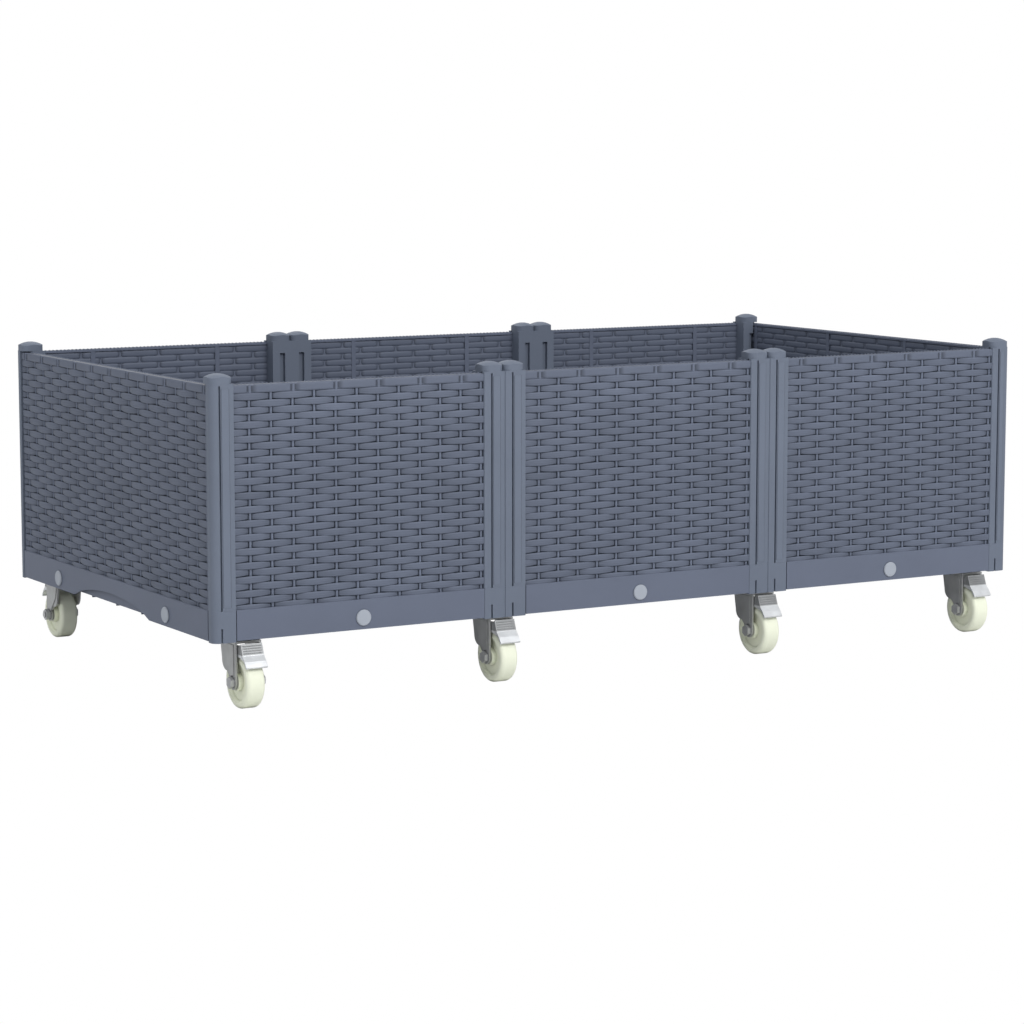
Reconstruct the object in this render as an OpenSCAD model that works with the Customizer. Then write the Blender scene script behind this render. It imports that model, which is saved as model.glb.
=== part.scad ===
// Rolling planter. Woven-look plastic walls stand between grooved posts on three
// joined trays, and the trays roll on eight swivel castors with brake pedals.
// Millimetres, +Z up. The origin is on the floor under the middle of the planter.
// X runs along the long front, and the front face looks along -Y.

/* [Planter] */
// Length of each of the three tray modules
module_len = 400; // [370:5:450]
// Depth from the front face to the rear face
depth = 630; // [580:5:700]
// Height of the smooth skirt at the foot of the walls
skirt_h = 37; // [35:0.5:44]
// Height of the woven field from the skirt to the top rim
weave_h = 269; // [220:1:320]

/* [Posts] */
// Side of the square posts
post_w = 30; // [29:0.5:34]
// Radius of the vertical corner of the four corner posts
post_corner_r = 9; // [5:0.5:9]
// Radius of the other vertical edges of the posts' outer faces
post_edge_r = 1.5; // [0.5:0.1:3]
// Height of the post tops above the top rim of the walls
post_over_rim = 1.7; // [0.5:0.1:5]
// Side of the square hollow that runs up each post
post_hollow_w = 14; // [12:0.5:15]
// Width of the narrow groove down the outer face
groove_w = 2.4; // [1.5:0.1:3.5]
// Depth of the narrow groove
groove_depth = 3; // [2:0.25:4]
// Distance from the left edge of a post to its groove
groove_in = 9.6; // [9.5:0.1:12]
// Height of the plain band above a groove
groove_top_in = 2; // [1:0.25:5]
// Width of the channel down the inner face
channel_w = 8; // [6:0.5:10]
// Depth of the channel
channel_depth = 5; // [3:0.25:6]
// Width of a corner post that shows beside an end wall
end_face_w = 15; // [13:0.5:17]
// Open gap between a corner post and the end wall
end_gap = 2; // [1:0.25:3]
// Length of the spigot that stands in the foot of the tray
post_spigot_l = 22; // [16:1:23]
// Side of that spigot
post_spigot_w = 20; // [18:0.5:22]
// Thickness of the inner walls of a corner post beside its rebate
post_wall_t = 2.5; // [2:0.1:3]

/* [Post caps] */
// Height of the straight rim of a cap
cap_rim_h = 4.3; // [3:0.1:7]
// Height of the dome over the rim
cap_dome_h = 8; // [5:0.25:11]
// Radius of the cap's vertical corners
cap_corner_r = 10; // [6:0.5:13]
// Length of the plug under a cap
cap_plug_l = 10; // [6:1:16]

/* [Walls] */
// Thickness of the skirt
skirt_t = 3; // [2.5:0.1:4]
// How far the strand crests lie behind the skirt's face
crest_in = 2.4; // [2:0.1:3]
// Height of a strand's crest over the core of the wall
strand_rise = 3.2; // [2.5:0.1:4]
// Length of the arched part of a strand, from core to core
strand_l = 44; // [36:0.5:48]
// Thickness of the core of the wall
core_t = 3.6; // [3:0.1:4.5]
// Distance between the upright stakes of the weave
stake_pitch = 28.76; // [22:0.02:36]
// Diameter of a stake
stake_d = 4; // [3:0.1:4.2]
// Height of one row of strands
row_pitch = 8.435; // [6:0.005:12]
// Open gap between two rows
row_gap = 1.5; // [0.8:0.1:3]
// Distance from a long wall's left edge to its first stake
first_stake = 21; // [12:0.1:26]
// Distance from an end wall's left edge to its first stake
end_first_stake = 13.4; // [6:0.1:26]
// Height of the smooth top rim
rim_h = 10.4; // [8:0.1:14]
// Thickness of the top rim from outside to the lip's inner face
rim_w = 9.3; // [8.8:0.1:10.5]
// Height of the lip inside the top rim
rim_lip_h = 3.5; // [2.5:0.1:6]
// Thickness of the ledge that joins the skirt to the core
ledge_t = 2.5; // [2:0.1:3.5]
// Distance between the stiffening ribs on the inner face
inner_rib_spread = 186; // [150:1:190]
// Width of the stiffening ribs
inner_rib_w = 6.5; // [4:0.25:9]
// Depth of the stiffening ribs
inner_rib_depth = 2.2; // [1.5:0.1:2.3]
// Length of the tongue at each side of a wall
tongue_l = 5.5; // [4:0.25:6.5]

/* [End arch] */
// Width of the hand hold arch at the skirt's lower edge
arch_w = 245; // [180:5:300]
// Width of the sloping step at each side of the arch
arch_step_w = 20; // [10:1:30]
// Height at the top of that step
arch_step_h = 7; // [4:0.5:9]
// Height at the middle of the arch
arch_h = 17.5; // [12:0.5:20]

/* [Trays] */
// Thickness of the tray's upright walls
tray_wall_t = 2.5; // [2:0.1:3]
// Distance from the planter's faces to the tray's upright walls
tray_inset = 5.6; // [5:0.1:6.4]
// Thickness of the tray's floor
floor_t = 3; // [2.5:0.1:4]
// Height of the tray's underside above the skirt's lower edge
seat_rise = 4; // [3:0.25:6]
// How far the post feet reach below the skirt
foot_drop = 1.5; // [0.5:0.1:2.4]
// Thickness of the feet's lower edge
foot_skirt_t = 12; // [9:0.25:13]
// Height of the notch at the foot of each groove
notch_h = 16; // [8:1:20]
// Thickness of the ribs under the tray
under_rib_t = 2.4; // [2:0.1:3.5]
// Height of the ribs under the tray
under_rib_h = 3; // [1:0.25:3]
// Distance between the ribs under the tray
under_rib_pitch = 80; // [60:5:120]
// Shank diameter of the couplers that join two trays
coupler_d = 8; // [6:0.5:10]
// Flange diameter of the couplers
coupler_flange_d = 18; // [14:0.5:20]
// Flange thickness of the couplers
coupler_flange_t = 2; // [1.5:0.25:3]
// Height of the couplers above the skirt's lower edge
coupler_z = 20; // [18:0.5:22]

/* [Drain plugs] */
// Diameter of a plug's head
plug_head_d = 20; // [18:0.5:24]
// Thickness of a plug's head
plug_head_t = 2; // [1.5:0.1:3]
// Diameter of a plug's shank
plug_shank_d = 13.4; // [10:0.1:14]
// Height of the plugs above the skirt's lower edge
plug_z = 14.5; // [14:0.25:17]
// Distance between the two plugs of an end wall
end_plug_spread = 348; // [320:2:400]

/* [Castor wheels] */
// Height of a castor from the floor to the top of its plate
castor_h = 90; // [88:0.5:96]
// Diameter of the wheels
wheel_d = 65; // [60:0.5:67]
// Width of the wheels
wheel_w = 24; // [20:0.5:24]
// Radius of the wheel's tread edges
wheel_edge_r = 5; // [2:0.5:6]
// Inner diameter of the rim beside the recessed web
rim_in_d = 50; // [44:0.5:52]
// Thickness of the web
web_w = 15; // [10:0.5:18]
// Diameter of the hub
hub_d = 22; // [18:0.5:26]
// Width of the hub
hub_w = 27; // [25:0.5:28.4]

/* [Castor frames] */
// Distance from the swivel axis to the wheel axle
trail = 21; // [16:0.5:24]
// Distance from the planter's front and rear faces to the swivel axes
castor_in_y = 41; // [40:0.5:50]
// Distance from the planter's ends to the outer swivel axes
castor_in_x = 50; // [48:1:70]
// Length of the top plate along X
plate_l = 60; // [56:1:64]
// Width of the top plate along Y
plate_w = 50; // [46:1:50]
// Thickness of the top plate
plate_t = 2.5; // [2:0.1:3]
// Corner radius of the top plate
plate_corner_r = 6; // [3:0.5:8]
// Distance between the plate's screws along X
screw_spread_x = 48; // [47:0.5:50]
// Distance between the plate's screws along Y
screw_spread_y = 36; // [34:1:38]
// Diameter of the swivel race
race_d = 42; // [36:1:44]
// Diameter of the swivel rivet
kingpin_d = 10; // [8:0.5:12]
// Head diameter of the swivel rivet
kingpin_head_d = 16; // [14:0.5:20]
// Head thickness of the swivel rivet
kingpin_head_t = 3; // [2:0.25:4]
// Thickness of the fork's sheet steel
fork_t = 2.5; // [2:0.1:3]
// Depth of the race between the plate and the fork
race_h = 4.2; // [3.5:0.1:5]
// Clear width between the fork's legs
leg_gap = 29.4; // [29:0.1:31]
// Reach of the legs behind the swivel axis
leg_back = 13; // [10:0.5:18]
// Radius of the legs' lower ends
leg_end_r = 9; // [8:0.25:10]
// Height of the pressed panel on a leg
leg_emboss = 0.9; // [0.5:0.1:1.5]
// Margin round that panel
leg_emboss_margin = 4.5; // [3.5:0.25:6]
// Diameter of the axle bolt
axle_d = 8; // [6:0.5:8]
// Outer diameter of the bush on the bolt
bush_d = 10; // [9.5:0.5:12]
// Width across flats of the bolt's head and nut
hex_af = 13; // [12:0.5:14]
// Height of the bolt's head
bolt_head_h = 5; // [4:0.25:6]
// Height of the nut
nut_h = 6.5; // [5:0.25:8]
// How far the bolt's end stands out of the nut
bolt_end_l = 1.5; // [1:0.25:3]
// Diameter of the plate's screws
screw_d = 5; // [4:0.25:5]
// Depth that the screws reach into the tray and the feet
screw_depth = 8.5; // [8:0.1:9]
// Head diameter of the screws
screw_head_d = 9.5; // [8:0.25:10]
// Head height of the screws
screw_head_h = 2.3; // [1.8:0.1:2.5]
// Width across flats of the nuts on the screws inside the tray
screw_nut_af = 8; // [8:0.25:9]
// Height of those nuts
screw_nut_h = 4; // [3:0.25:4.25]
// Diameter of the pads on the floors under the nuts
pad_d = 11; // [10.5:0.25:12]
// Height of the pads on the floors under the nuts
pad_h = 1; // [0.5:0.25:1.5]

/* [Brake pedals] */
// Width of a pedal
pedal_w = 28.4; // [27:0.1:28.4]
// Thickness of the pedal's sheet steel
pedal_t = 2; // [1.6:0.1:2]
// Diameter of the pedal's pivot pin
pedal_pin_d = 5; // [4:0.25:6]
// Distance from the swivel axis forward to the pivot pin
pedal_pin_y = 20; // [18:0.5:22]
// Distance from the castor's top down to the pivot pin
pedal_pin_drop = 17; // [16:0.5:18]
// Radius of the ears round the pivot pin
pedal_ear_r = 5; // [4:0.25:5.5]
// Reach of the pedal's top edge in front of the swivel axis
pedal_top_y = 38.5; // [37:0.25:40]
// Distance from the castor's top down to that edge
pedal_top_drop = 9; // [8.5:0.25:11]
// Height of the ribs across the upper face
pedal_rib_r = 0.6; // [0.4:0.1:1]

/* [Hidden] */
$fn = 96;
// Running and fitting clearances
run_fit = 0.05;
loose_fit = 0.3;
seam_fit = 0.35;
// Gap between a post and its foot, and between a tray's floor and its kerbs
part_gap = 0.1;
// Overrun of every cut past the face it opens
over = 1;
module_names = ["left", "middle", "right"];
modules = len(module_names);
castors_per_side = modules + 1;
castors = 2 * castors_per_side;
plugs_per_side = modules + 2;
plugs = 2 * plugs_per_side;
function castor_name(piece, i) = str("castor_", piece, "_", i + 1);
function plug_name(i) = str("drain_plug_", i + 1);

// Whole planter
length = modules * module_len;
seat_z = castor_h;
base_z = seat_z - seat_rise;
rim_z = skirt_h + weave_h;
post_top = rim_z + post_over_rim;
plastic = "#6b7184";
plug_grey = "#a8aeb8";
zinc = "#9a9ca0";
nylon = "#f0f2de";

// Walls
long_wall_l = module_len - 2 * post_w;
end_wall_l = depth - 2 * (end_face_w + end_gap);
core_in = crest_in + strand_rise;
core_back = core_in + core_t;
rebate_in = crest_in + rim_w + loose_fit;
rows = ceil((weave_h - rim_h) / row_pitch);
strand_r = (pow(strand_l / 2, 2) + pow(strand_rise, 2)) / (2 * strand_rise);
arch_r = (pow(arch_w / 2 - arch_step_w, 2) + pow(arch_h - arch_step_h, 2)) / (2 * (arch_h - arch_step_h));
slot_w = core_t + 2 * loose_fit;
slot_depth = tongue_l + loose_fit;
outlet_d = plug_shank_d + 2 * loose_fit;
floor_in = tray_wall_t + part_gap;

// Castors
axle_z = wheel_d / 2;
race_z = seat_z - plate_t - race_h;
crown_top = race_z - loose_fit;
crown_z = crown_top - fork_t;
leg_x = leg_gap / 2;
leg_out = leg_x + fork_t;
leg_front = trail + leg_end_r;
// Knee of the leg's rear edge: its place as shares of the leg's reach and height
leg_knee_shares = [0.62, 0.5];
// Lower end of that edge, as an angle on the leg's round end
leg_tangent = 38;
pin_z = seat_z - pedal_pin_drop;
// Bends of the pedal's outer face below its top edge, as shares of its width:
// each pair is the step forward and the step down from the bend before
pedal_bend_shares = [[0.19, 0.49], [0.21, 0.21], [0.16, 0.23]];
// Turned-in lip at the pedal's lower edge, in the same shares
pedal_lip_share = [-0.05, 0.065];
pedal_ribs = 4;
// Brake shoe behind the pedal's middle face: its length along that face and thickness
shoe_l_share = 0.17;
shoe_t_share = 0.086;

// The long sides share one set of places: index 0 is at the left of a side
function bay_x(i) = -length / 2 + i * module_len;
function castor_x(i) = i == 0 ? -length / 2 + castor_in_x
    : i == modules ? length / 2 - castor_in_x : bay_x(i);

// Puts a front detail in place, or turns it half round to the rear
module on_side(rear) rotate(rear ? 180 : 0) translate([0, -depth / 2, base_z]) children();

// Puts a detail drawn for a wall, with x along it and y inward, on an end of the planter
module on_end(right) rotate(right ? 180 : 0) translate([-length / 2, 0, base_z]) rotate(-90) children();

// Extrudes a profile drawn in the y-z plane along x
module along_x(l) rotate([90, 0, 90]) linear_extrude(l) children();

// Square with its corners rounded by true arcs
module round_square(l, w, r) {
    translate([r, 0]) square([l - 2 * r, w]);
    translate([0, r]) square([l, w - 2 * r]);
    for (x = [r, l - r], y = [r, w - r]) translate([x, y]) circle(r);
}

// Post outline seen from above, from x = 0 and with its outer face at y = 0. A corner
// post has a round outer corner and a rebate for the end wall on the same side.
module post_plan(corner_left, corner_right) {
    difference() {
        square(post_w);
        outer_edge(corner_left);
        translate([post_w, 0]) mirror([1, 0]) outer_edge(corner_right);
    }
}

// What is cut from a post at the left edge of its outer face
module outer_edge(corner) {
    r = corner ? post_corner_r : post_edge_r;
    difference() {
        translate([-over, -over]) square(r + over);
        translate([r, r]) circle(r);
    }
    if (corner) translate([-over, end_face_w]) square([rebate_in + over, post_w]);
}

// Core of a post seen from above, such as its spigot or hollow. In a corner post the
// rebate pushes the core inward by a number of wall thicknesses.
module core_plan(w, walls, corner_left, corner_right, grow) {
    side = (post_w - w) / 2;
    left = corner_left ? rebate_in + walls * post_wall_t : side;
    right = corner_right ? rebate_in + walls * post_wall_t : side;
    translate([left - grow, side - grow]) square([post_w - left - right + 2 * grow, w + 2 * grow]);
}

// TRAYS

// Outline of a tray, moved in by t
module tray_outline(i, t) {
    left = bay_x(i) + (i == 0 ? tray_inset : 0) + t;
    right = bay_x(i + 1) - (i == modules - 1 ? tray_inset : 0) - t;
    front = -depth / 2 + tray_inset + t;
    translate([left, front]) square([right - left, -2 * front]);
}

// Corners of a tray that its feet take up
module feet_plan(i)
    for (x = [bay_x(i), bay_x(i + 1)], s = [-1, 1]) translate([x, s * depth / 2])
        square(2 * (post_w + loose_fit), center = true);

// Ribs under the floor of tray i, held clear of the castor plates
module under_ribs(i) {
    left = bay_x(i) + (i == 0 ? tray_inset : 0) + floor_in;
    right = bay_x(i + 1) - (i == modules - 1 ? tray_inset : 0) - floor_in;
    clear_y = depth / 2 - castor_in_y - plate_w / 2 - over;
    mid = bay_x(i) + module_len / 2;
    ribs_x = floor((module_len / 2 - tray_inset - tray_wall_t) / under_rib_pitch);
    ribs_y = floor(clear_y / under_rib_pitch);
    for (k = [-ribs_x : ribs_x])
        translate([mid + k * under_rib_pitch - under_rib_t / 2, -clear_y, seat_z - under_rib_h])
            cube([under_rib_t, 2 * clear_y, under_rib_h + floor_t / 2]);
    for (k = [-ribs_y : ribs_y])
        translate([left, k * under_rib_pitch - under_rib_t / 2, seat_z - under_rib_h])
            cube([right - left, under_rib_t, under_rib_h + floor_t / 2]);
}

// Calls its children at every drain outlet of tray i, in a frame with y inward
module at_outlets(i) {
    for (rear = [false, true]) on_side(rear)
        translate([bay_x(rear ? modules - 1 - i : i) + module_len / 2, 0, plug_z]) children();
    if (i == 0) on_end(false)
        for (s = [-1, 1]) translate([s * end_plug_spread / 2, 0, plug_z]) children();
    if (i == modules - 1) on_end(true)
        for (s = [-1, 1]) translate([s * end_plug_spread / 2, 0, plug_z]) children();
}

// Calls its children at every screw of the castor plates that lies over bay i. Some
// screws go into the posts' feet and the others through the tray's floor.
module at_screws(i, in_feet)
    for (rear = [false, true], c = [i, i + 1], sx = [-1, 1], sy = [-1, 1]) {
        side_c = rear ? modules - c : c;
        x = (rear ? -1 : 1) * castor_x(side_c) + sx * screw_spread_x / 2;
        y = (rear ? 1 : -1) * (depth / 2 - castor_in_y) + sy * screw_spread_y / 2;
        from_seam = min(x - bay_x(i), bay_x(i + 1) - x);
        in_foot = from_seam < post_w && abs(y) > depth / 2 - post_w;
        if (from_seam > 0 && in_foot == in_feet) translate([x, y, seat_z]) children();
    }

module coupler_bores()
    for (s = [-1, 1]) translate([-tray_wall_t - over, s * end_plug_spread / 2, base_z + coupler_z])
        rotate([0, 90, 0]) cylinder(d = coupler_d + 2 * loose_fit, h = 2 * (tray_wall_t + over));

// A tray: a floor with ribs below and pads under the nuts, and four straight kerbs
module base_tray(i) {
    color(plastic) difference() {
        union() {
            translate([0, 0, seat_z]) linear_extrude(floor_t) difference() {
                tray_outline(i, floor_in);
                feet_plan(i);
            }
            translate([0, 0, seat_z]) linear_extrude(skirt_h - ledge_t - seat_rise) difference() {
                tray_outline(i, 0);
                tray_outline(i, tray_wall_t);
                feet_plan(i);
            }
            under_ribs(i);
            at_screws(i, false) cylinder(d = pad_d, h = floor_t + pad_h);
        }
        at_outlets(i) translate([0, -over, 0]) rotate([-90, 0, 0])
            cylinder(d = outlet_d, h = over + tray_inset + tray_wall_t + part_gap / 2);
        at_screws(i, false) translate([0, 0, -over])
            cylinder(d = screw_d + 2 * run_fit, h = floor_t + pad_h + 2 * over);
        if (i > 0) translate([bay_x(i), 0]) coupler_bores();
        if (i < modules - 1) translate([bay_x(i + 1), 0]) coupler_bores();
    }
}

// Couplers: flanged pins through the walls of two neighbouring trays
module tray_couplers() {
    color(plastic) for (i = [1 : modules - 1], s = [-1, 1])
        translate([bay_x(i), s * end_plug_spread / 2, base_z + coupler_z]) rotate([0, 90, 0]) {
            cylinder(d = coupler_d, h = 2 * tray_wall_t + coupler_flange_t, center = true);
            for (m = [0, 1]) mirror([0, 0, m]) translate([0, 0, tray_wall_t])
                cylinder(d = coupler_flange_d, h = coupler_flange_t);
        }
}

// POSTS AND CAPS

// Foot of one post in the side's frame: a block with a socket, and a thinner lower edge
module foot(corner_left, corner_right) {
    difference() {
        union() {
            translate([0, 0, seat_rise]) linear_extrude(skirt_h - seat_rise)
                post_plan(corner_left, corner_right);
            translate([0, 0, -foot_drop]) linear_extrude(seat_rise + foot_drop + over) intersection() {
                post_plan(corner_left, corner_right);
                union() {
                    square([post_w, foot_skirt_t]);
                    if (corner_left) square([foot_skirt_t, post_w]);
                    if (corner_right) translate([post_w - foot_skirt_t, 0]) square([foot_skirt_t, post_w]);
                }
            }
        }
        translate([0, 0, skirt_h - post_spigot_l - loose_fit])
            linear_extrude(post_spigot_l + loose_fit + over)
                core_plan(post_spigot_w, 1, corner_left, corner_right, loose_fit);
        translate([groove_in, -over, -foot_drop - over])
            cube([groove_w, groove_depth + over, notch_h + foot_drop + over]);
    }
}

// One post in the side's frame, standing in a foot. wall_left and wall_right say
// on which sides a long wall slides into it.
module post(corner_left, corner_right, wall_left, wall_right) {
    slot_in = core_in - loose_fit;
    difference() {
        union() {
            translate([0, 0, skirt_h + part_gap]) linear_extrude(post_top - skirt_h - part_gap)
                post_plan(corner_left, corner_right);
            translate([0, 0, skirt_h - post_spigot_l]) linear_extrude(post_spigot_l + over)
                core_plan(post_spigot_w, 1, corner_left, corner_right, 0);
        }
        translate([0, 0, skirt_h - post_spigot_l - over]) linear_extrude(post_top)
            core_plan(post_hollow_w, 2, corner_left, corner_right, 0);
        translate([groove_in, -over, skirt_h - over])
            cube([groove_w, groove_depth + over, post_top - skirt_h - groove_top_in + over]);
        translate([(post_w - channel_w) / 2, post_w - channel_depth, skirt_h + post_w / 2])
            cube([channel_w, channel_depth + over, rim_z - skirt_h - post_w]);
        if (wall_left) translate([-over, slot_in, skirt_h - over])
            cube([slot_depth + over, slot_w, post_top]);
        if (wall_right) translate([post_w - slot_depth, slot_in, skirt_h - over])
            cube([slot_depth + over, slot_w, post_top]);
        if (corner_left) translate([slot_in, end_face_w - slot_depth, skirt_h - over])
            cube([slot_w, slot_depth + over, post_top]);
        if (corner_right) translate([post_w - slot_in - slot_w, end_face_w - slot_depth, skirt_h - over])
            cube([slot_w, slot_depth + over, post_top]);
    }
}

// The two posts of bay i along one side, and their feet
module side_posts(i) {
    translate([bay_x(i), 0]) post(i == 0, false, false, true);
    translate([bay_x(i + 1) - post_w, 0]) post(false, i == modules - 1, true, false);
}

module side_feet(i) {
    translate([bay_x(i), 0]) foot(i == 0, false);
    translate([bay_x(i + 1) - post_w, 0]) foot(false, i == modules - 1);
}

module posts(i) color(plastic) {
    on_side(false) side_posts(i);
    on_side(true) side_posts(modules - 1 - i);
    difference() {
        union() {
            on_side(false) side_feet(i);
            on_side(true) side_feet(modules - 1 - i);
        }
        at_screws(i, true) translate([0, 0, -over])
            cylinder(d = screw_d + 2 * run_fit, h = screw_depth + over);
    }
}

// Domed cap with a plug that fills the top of a post's hollow
module cap(corner_left, corner_right) {
    half = post_w / 2;
    side = post_w - seam_fit;
    dome_r = (pow(half, 2) * 2 + pow(cap_dome_h, 2)) / (2 * cap_dome_h);
    intersection() {
        translate([seam_fit / 2, seam_fit / 2]) linear_extrude(cap_rim_h + cap_dome_h)
            round_square(side, side, cap_corner_r);
        translate([half, half, cap_rim_h + cap_dome_h - dome_r]) sphere(dome_r);
    }
    translate([0, 0, -cap_plug_l]) linear_extrude(cap_plug_l + over)
        core_plan(post_hollow_w, 2, corner_left, corner_right, -loose_fit / 2);
}

module post_caps() color(plastic)
    for (rear = [false, true]) on_side(rear) translate([0, 0, post_top]) for (i = [0 : modules - 1]) {
        translate([bay_x(i), 0]) cap(i == 0, false);
        translate([bay_x(i + 1) - post_w, 0]) cap(false, i == modules - 1);
    }

// WALLS

// Section of a wall, x inward from the skirt's face and y up from its lower edge
module wall_section() {
    edge = skirt_t / 3;
    rim_back = crest_in + rim_w;
    polygon([[0, 0], [skirt_t, 0], [skirt_t, skirt_h - ledge_t], [core_back, skirt_h - ledge_t],
        [core_back, rim_z - rim_lip_h - edge], [rim_back, rim_z - rim_lip_h], [rim_back, rim_z - edge],
        [rim_back - edge, rim_z], [crest_in + edge, rim_z], [crest_in, rim_z - edge],
        [crest_in, rim_z - rim_h + edge], [crest_in + edge, rim_z - rim_h], [core_in, rim_z - rim_h],
        [core_in, skirt_h], [edge, skirt_h], [0, skirt_h - edge]]);
}

// Plan of one row of strands over a wall that is w long. The strands arch over every
// second stake, and those of the next row over the stakes between.
module row_plan(w, first, odd) {
    last = ceil((w - first) / stake_pitch) + 1;
    intersection() {
        square([w, core_in + core_t / 2]);
        union() for (k = [-2 : last]) if ((k + 2) % 2 == odd) translate([first + k * stake_pitch, 0])
            intersection() {
                translate([0, crest_in + strand_r]) circle(strand_r);
                translate([-strand_l / 2 - over, 0]) square([strand_l + 2 * over, core_in + over / 2]);
            }
    }
}

// Woven field over the core: upright stakes, and rows of strands from the rim down
module weave(w, first) {
    stakes = floor((w - first - stake_d / 2) / stake_pitch);
    top = rim_z - rim_h;
    for (k = [0 : stakes]) translate([first + k * stake_pitch, core_in, skirt_h - over])
        cylinder(d = stake_d, h = weave_h);
    for (j = [0 : rows - 1]) {
        low = max(skirt_h - over, top - (rows - j) * row_pitch);
        translate([0, 0, low]) linear_extrude(top - (rows - j - 1) * row_pitch - row_gap - low)
            row_plan(w, first, j % 2);
    }
}

// A wall from x = 0 to x = w in the side's frame, with tongues past both edges
module wall(w, first, tongue) {
    ribs = floor((w / 2 - inner_rib_w) / inner_rib_spread - 1 / 2);
    along_x(w) wall_section();
    weave(w, first);
    translate([-tongue, core_in, skirt_h]) cube([w + 2 * tongue, core_t, weave_h - rim_h]);
    for (s = [-1, 1], k = [0 : ribs]) {
        x = w / 2 + s * (k + 1 / 2) * inner_rib_spread;
        translate([x - inner_rib_w / 2, core_back - over, skirt_h - over])
            cube([inner_rib_w, inner_rib_depth + over, weave_h]);
    }
}

// The long wall of bay i along one side, with the hole for its drain plug
module side_wall(i) color(plastic) difference() {
    translate([bay_x(i) + post_w + seam_fit, 0])
        wall(long_wall_l - 2 * seam_fit, first_stake - seam_fit, tongue_l - seam_fit);
    translate([bay_x(i) + module_len / 2, -over, plug_z]) rotate([-90, 0, 0])
        cylinder(d = outlet_d, h = skirt_t + 2 * over);
}

module front_wall(i) on_side(false) side_wall(i);

module rear_wall(i) on_side(true) side_wall(modules - 1 - i);

// Opening under the arch of an end wall's skirt, in the plane of the skirt
module arch_plan() {
    half = arch_w / 2 - arch_step_w;
    polygon([[-arch_w / 2, -over], [-arch_w / 2, 0], [-half, arch_step_h], [half, arch_step_h],
        [arch_w / 2, 0], [arch_w / 2, -over]]);
    intersection() {
        translate([-half, 0]) square([2 * half, arch_h + over]);
        translate([0, arch_h - arch_r]) circle(arch_r);
    }
}

// End wall in the end's frame, with its hand hold and the holes of two plugs
module end_wall(right) color(plastic) on_end(right) difference() {
    translate([-end_wall_l / 2, 0])
        wall(end_wall_l, end_first_stake, end_gap + tongue_l);
    translate([0, skirt_t + over]) rotate([90, 0, 0]) linear_extrude(skirt_t + 2 * over) arch_plan();
    for (s = [-1, 1]) translate([s * end_plug_spread / 2, -over, plug_z]) rotate([-90, 0, 0])
        cylinder(d = outlet_d, h = skirt_t + 2 * over);
}

// DRAIN PLUGS

// Plug in a wall's frame: a domed head outside the skirt and a shank with a tapered tip
module plug() {
    tip = plug_shank_d / 8;
    shank_l = tray_inset + tray_wall_t;
    face = -loose_fit - plug_head_t;
    bevel = plug_head_t / 2;
    rotate([-90, 0, 0]) rotate_extrude() polygon([[0, face], [plug_head_d / 2 - bevel, face],
        [plug_head_d / 2, face + bevel], [plug_head_d / 2, -loose_fit], [plug_shank_d / 2, -loose_fit],
        [plug_shank_d / 2, shank_l - tip], [plug_shank_d / 2 - tip, shank_l], [0, shank_l]]);
}

// Plugs are numbered along the front, the right end, the rear and the left end
module drain_plug(i) {
    half = plugs / 2;
    k = i % half;
    color(plug_grey) rotate(i < half ? 0 : 180)
        if (k < modules) translate([bay_x(k) + module_len / 2, -depth / 2, base_z + plug_z]) plug();
        else on_end(true)
            translate([(k == modules ? -1 : 1) * end_plug_spread / 2, 0, plug_z]) plug();
}

// CASTORS

// Stands a castor's piece on the floor: the first half of the castors is along the
// front from left to right, the others follow round the rear. Wheels trail outward.
module at_castor(i) {
    rear = i >= castors_per_side;
    rotate(rear ? 180 : 0)
        translate([castor_x(rear ? i - castors_per_side : i), -depth / 2 + castor_in_y]) children();
}

module on_axle(x) translate([x, -trail, axle_z]) rotate([0, 90, 0]) children();

// Top plate with the upper race and the swivel rivet
module castor_plate() {
    difference() {
        translate([-plate_l / 2, -plate_w / 2, seat_z - plate_t])
            linear_extrude(plate_t) round_square(plate_l, plate_w, plate_corner_r);
        for (sx = [-1, 1], sy = [-1, 1])
            translate([sx * screw_spread_x / 2, sy * screw_spread_y / 2, seat_z - plate_t - over])
                cylinder(d = screw_d + 2 * run_fit, h = plate_t + 2 * over);
    }
    translate([0, 0, race_z]) cylinder(d1 = race_d - race_h, d2 = race_d, h = race_h + plate_t / 2);
    translate([0, 0, crown_z - loose_fit]) cylinder(d = kingpin_d, h = seat_z - crown_z);
    translate([0, 0, crown_z - loose_fit - kingpin_head_t])
        cylinder(d1 = kingpin_head_d - kingpin_head_t, d2 = kingpin_head_d, h = kingpin_head_t);
}

module castor_plates() color(zinc) for (i = [0 : castors - 1]) at_castor(i) castor_plate();

// Screws of the castor plates, with nuts on those that come up through a tray's floor
module castor_screws() color(zinc) {
    for (i = [0 : castors - 1]) at_castor(i) for (sx = [-1, 1], sy = [-1, 1])
        translate([sx * screw_spread_x / 2, sy * screw_spread_y / 2, seat_z - plate_t]) {
            cylinder(d = screw_d, h = plate_t + screw_depth - loose_fit);
            translate([0, 0, -screw_head_h])
                cylinder(d1 = screw_head_d - screw_head_h, d2 = screw_head_d, h = screw_head_h);
        }
    for (i = [0 : modules - 1]) at_screws(i, false) translate([0, 0, floor_t + pad_h]) difference() {
        cylinder(d = screw_nut_af / cos(30), h = screw_nut_h, $fn = 6);
        translate([0, 0, -over]) cylinder(d = screw_d + 2 * run_fit, h = screw_nut_h + 2 * over);
    }
}

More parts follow.
